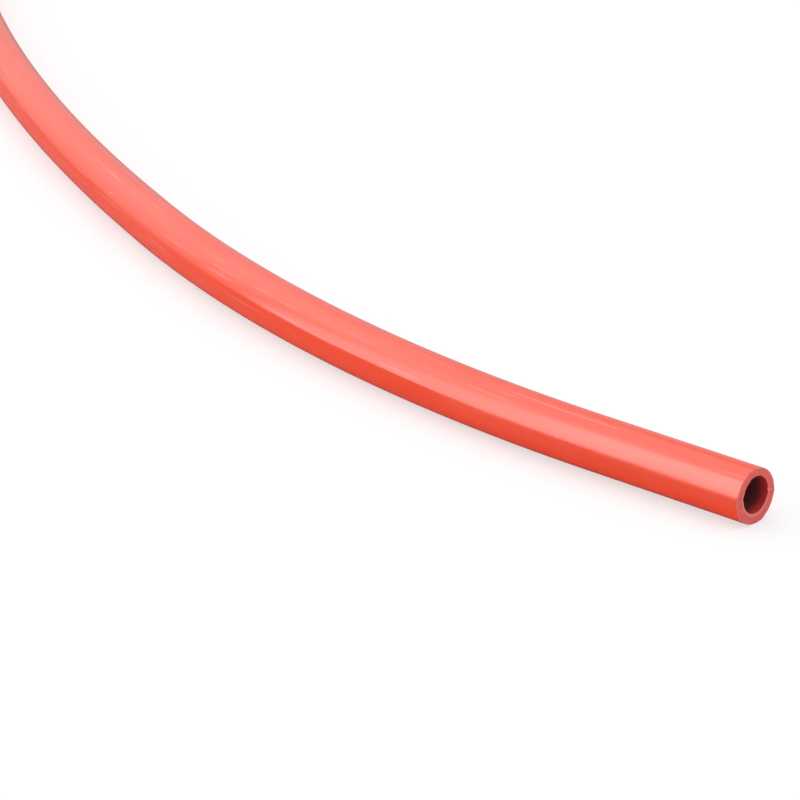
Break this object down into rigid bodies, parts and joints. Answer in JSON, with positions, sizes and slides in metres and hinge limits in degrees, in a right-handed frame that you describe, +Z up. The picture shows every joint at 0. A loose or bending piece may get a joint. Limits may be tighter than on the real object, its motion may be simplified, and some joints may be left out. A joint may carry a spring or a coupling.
{
  "type": "rubber vacuum tubing",
  "caption": "Length of soft red rubber tubing with a round bore and a thick wall, square-cut at both ends, lying in a gentle curve.",
  "frame": {"origin": "centre of the near cut face, on the axis of the bore", "axes": "+X from the near mouth to the far mouth, +Z up from the surface that the tube lies on"},
  "size_m": [0.3905, 0.0516, 0.009],
  "materials": {
    "red_rubber": "smooth extruded rubber with a soft gloss, matt on the cut faces"
  },
  "bodies": {
    "root": {"tube": "red_rubber"}
  },
  "joints": []
}
